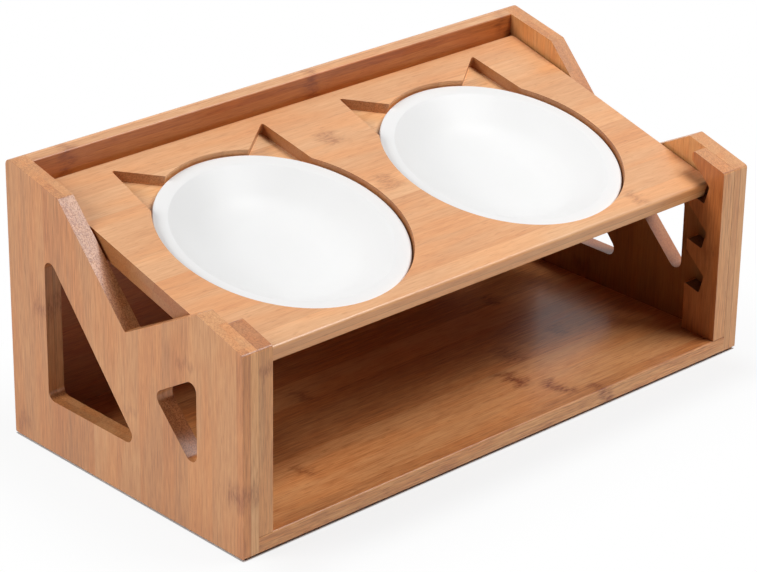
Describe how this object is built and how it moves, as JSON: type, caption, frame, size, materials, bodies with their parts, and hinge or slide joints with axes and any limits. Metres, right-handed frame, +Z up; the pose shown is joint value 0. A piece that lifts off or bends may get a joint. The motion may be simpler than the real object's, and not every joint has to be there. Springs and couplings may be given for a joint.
{
  "type": "raised pet feeder stand",
  "caption": "Bamboo feeder stand with a forward-tilted tray that hooks into notched front strips at different heights and holds shallow lift-out bowls.",
  "frame": {"origin": "on the floor under the middle of the stand, at the undersides of the foot pads", "axes": "+X to the right along the width, +Y from the open front to the back panel, +Z up"},
  "size_m": [0.4, 0.202, 0.1716],
  "materials": {
    "panel_bamboo": "satin lacquer, grain upright",
    "board_bamboo": "satin lacquer, grain along the width",
    "tray_bamboo": "satin lacquer, grain along the width",
    "strip_bamboo": "satin lacquer, grain upright",
    "bowl_white": "white gloss",
    "dowel_wood": "plain",
    "pad_rubber": "matt"
  },
  "bodies": {
    "stand": {"left_side_panel": "panel_bamboo", "right_side_panel": "panel_bamboo", "back_panel": "board_bamboo", "base_board": "board_bamboo", "left_height_strip": "strip_bamboo", "right_height_strip": "strip_bamboo", "left_top_rest": "strip_bamboo", "left_middle_rest": "strip_bamboo", "left_bottom_rest": "strip_bamboo", "right_top_rest": "strip_bamboo", "right_middle_rest": "strip_bamboo", "right_bottom_rest": "strip_bamboo", "left_base_dowels": "dowel_wood", "right_base_dowels": "dowel_wood", "left_back_dowels": "dowel_wood", "right_back_dowels": "dowel_wood", "left_strip_dowels": "dowel_wood", "right_strip_dowels": "dowel_wood", "rear_base_dowels": "dowel_wood", "front_left_pad": "pad_rubber", "front_right_pad": "pad_rubber", "rear_left_pad": "pad_rubber", "rear_right_pad": "pad_rubber"},
    "tray": {"tray_board": "tray_bamboo"},
    "left_bowl": {"left_bowl": "bowl_white"},
    "right_bowl": {"right_bowl": "bowl_white"}
  },
  "joints": [
    {"name": "tray_lift", "type": "hinge", "parent": "stand", "child": "tray", "pos_m": [0, -0.0822, 0.1], "axis": [1, 0, 0], "range_deg": [0, 26]},
    {"name": "left_bowl_lift", "type": "slide", "parent": "tray", "child": "left_bowl", "axis": [0, -0.2656, 0.9641], "range_m": [0, 0.06]},
    {"name": "right_bowl_lift", "type": "slide", "parent": "tray", "child": "right_bowl", "axis": [0, -0.2656, 0.9641], "range_m": [0, 0.06]}
  ]
}
